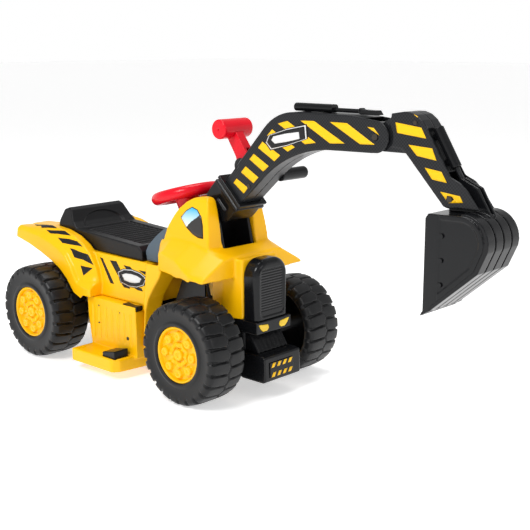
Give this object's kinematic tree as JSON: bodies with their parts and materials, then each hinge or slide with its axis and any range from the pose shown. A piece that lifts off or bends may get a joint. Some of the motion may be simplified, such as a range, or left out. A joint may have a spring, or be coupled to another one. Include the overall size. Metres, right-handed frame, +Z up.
{
  "type": "ride-on toy excavator",
  "caption": "Battery ride-on digger toy with steered front wheels, lift-up seat, foot pedal and a lever-worked digging arm with bucket.",
  "frame": {"origin": "middle of the footprint, on the ground", "axes": "+X forward along the vehicle, +Y to the rider's left, +Z up"},
  "size_m": [1.1433, 0.367, 0.5646],
  "materials": {
    "yellow_plastic": "glossy moulded",
    "black_plastic": "satin moulded",
    "arm_black": "semi-gloss moulded",
    "seat_black": "satin moulded",
    "red_plastic": "glossy moulded",
    "grey_plastic": "satin moulded",
    "wheel_black": "satin moulded tread",
    "steel": "plain",
    "lamp_yellow": "clear-coated",
    "drive_white": "plain moulded",
    "battery_case": "plain moulded"
  },
  "bodies": {
    "chassis": {"chassis_frame": "black_plastic", "body_shell": "yellow_plastic", "front_cowl": "yellow_plastic", "console": "grey_plastic", "footboard_left": "yellow_plastic", "footboard_right": "yellow_plastic", "grille": "arm_black", "light_strip": "black_plastic", "headlights": "lamp_yellow", "chin_grille": "black_plastic", "bumper": "black_plastic", "hazard_plate": "black_plastic", "rear_axle": "steel", "axle_spacers": "steel", "rear_axle_nuts": "steel", "gearbox": "drive_white", "motor": "battery_case", "battery": "battery_case", "front_beam": "black_plastic", "kingpins": "steel", "boom_mount": "black_plastic", "boom_pivot_pin": "steel"},
    "rear_wheel_left": {"wheel_rear_left": "wheel_black", "hubcap_rear_left": "yellow_plastic"},
    "rear_wheel_right": {"wheel_rear_right": "wheel_black", "hubcap_rear_right": "yellow_plastic"},
    "steer_left": {"knuckle_left": "steel", "axle_nut_front_left": "steel"},
    "steer_right": {"knuckle_right": "steel", "axle_nut_front_right": "steel"},
    "front_wheel_left": {"wheel_front_left": "wheel_black", "hubcap_front_left": "yellow_plastic"},
    "front_wheel_right": {"wheel_front_right": "wheel_black", "hubcap_front_right": "yellow_plastic"},
    "steering": {"steering_wheel": "red_plastic", "steering_column": "steel"},
    "tie_link": {"tie_rod": "black_plastic"},
    "seat_lid": {"seat": "seat_black"},
    "throttle": {"pedal": "black_plastic"},
    "direction_switch": {"drive_switch": "black_plastic"},
    "boom": {"boom_shell_left": "arm_black", "boom_shell_right": "arm_black", "boom_socket": "arm_black", "boom_grip": "arm_black", "boom_cylinder": "arm_black", "boom_cylinder_rod": "arm_black", "boom_screws": "steel", "lever_pin": "steel", "dipper_pin": "steel"},
    "lever": {"lever_arm": "red_plastic", "lever_grip": "red_plastic"},
    "link": {"link_rod": "arm_black"},
    "dipper": {"dipper_shell_left": "arm_black", "dipper_shell_right": "arm_black", "dipper_cylinder": "arm_black", "bucket_pin": "steel", "dipper_screws": "steel"},
    "ram_rod": {"dipper_rod": "arm_black"},
    "scoop": {"bucket": "arm_black", "bucket_bolts": "arm_black"}
  },
  "joints": [
    {"name": "boom_tilt", "type": "hinge", "parent": "chassis", "child": "boom", "pos_m": [-0.0392, 0, 0.338], "axis": [0, 1, 0], "range_deg": [-7, 16]},
    {"name": "dipper_swing", "type": "hinge", "parent": "boom", "child": "dipper", "pos_m": [0.3368, 0, 0.516], "axis": [0, 1, 0], "range_deg": [-24, 20]},
    {"name": "lever_swing", "type": "hinge", "parent": "boom", "child": "lever", "pos_m": [0.0128, 0, 0.441], "axis": [0, 1, 0], "range_deg": [-24, 20]},
    {"name": "link_swing", "type": "hinge", "parent": "lever", "child": "link", "pos_m": [0.0098, 0, 0.4547], "axis": [0, 1, 0], "range_deg": [-20, 24]},
    {"name": "bucket_curl", "type": "hinge", "parent": "dipper", "child": "scoop", "pos_m": [0.4828, 0, 0.425], "axis": [0, 1, 0], "range_deg": [0, 30]},
    {"name": "ram_stroke", "type": "slide", "parent": "dipper", "child": "ram_rod", "axis": [0.5251, 0, -0.851], "range_m": [0, 0.0121]},
    {"name": "steering_turn", "type": "hinge", "parent": "chassis", "child": "steering", "pos_m": [-0.1542, 0, 0.37], "axis": [-0.2756, 0, 0.9613], "range_deg": [-30, 30]},
    {"name": "knuckle_left_turn", "type": "hinge", "parent": "chassis", "child": "steer_left", "pos_m": [0.0033, 0.078, 0.1], "axis": [0, 0, 1], "range_deg": [-16.8, 16.8]},
    {"name": "knuckle_right_turn", "type": "hinge", "parent": "chassis", "child": "steer_right", "pos_m": [0.0033, -0.078, 0.1], "axis": [0, 0, 1], "range_deg": [-16.8, 16.8]},
    {"name": "tie_rod_pivot", "type": "hinge", "parent": "steer_left", "child": "tie_link", "pos_m": [-0.0367, 0.078, 0.11], "axis": [0, 0, 1], "range_deg": [-16.8, 16.8]},
    {"name": "front_left_spin", "type": "hinge", "parent": "steer_left", "child": "front_wheel_left", "pos_m": [0.0033, 0.1385, 0.1], "axis": [0, 1, 0], "continuous": true},
    {"name": "front_right_spin", "type": "hinge", "parent": "steer_right", "child": "front_wheel_right", "pos_m": [0.0033, -0.1385, 0.1], "axis": [0, 1, 0], "continuous": true},
    {"name": "rear_left_spin", "type": "hinge", "parent": "chassis", "child": "rear_wheel_left", "pos_m": [-0.4642, 0.1385, 0.1], "axis": [0, 1, 0], "continuous": true},
    {"name": "rear_right_spin", "type": "hinge", "parent": "chassis", "child": "rear_wheel_right", "pos_m": [-0.4642, -0.1385, 0.1], "axis": [0, 1, 0], "continuous": true},
    {"name": "seat_lift", "type": "slide", "parent": "chassis", "child": "seat_lid", "axis": [0, 0, 1], "range_m": [0, 0.06]},
    {"name": "pedal_press", "type": "hinge", "parent": "chassis", "child": "throttle", "pos_m": [-0.2342, -0.149, 0.042], "axis": [0, 1, 0], "range_deg": [0, 6], "stiffness_Nm_per_rad": 2, "springref_deg": -1.15},
    {"name": "switch_rock", "type": "hinge", "parent": "chassis", "child": "direction_switch", "pos_m": [-0.2022, -0.112, 0.144], "axis": [0, 1, 0], "range_deg": [-3, 3]}
  ],
  "couplings": [
    {"joint": "lever_swing", "follows": "dipper_swing", "ratio": 1},
    {"joint": "link_swing", "follows": "dipper_swing", "ratio": -1},
    {"joint": "ram_stroke", "follows": "bucket_curl", "m_per_rad": 0.023},
    {"joint": "knuckle_left_turn", "follows": "steering_turn", "ratio": 0.56},
    {"joint": "knuckle_right_turn", "follows": "steering_turn", "ratio": 0.56},
    {"joint": "tie_rod_pivot", "follows": "steering_turn", "ratio": -0.56}
  ]
}
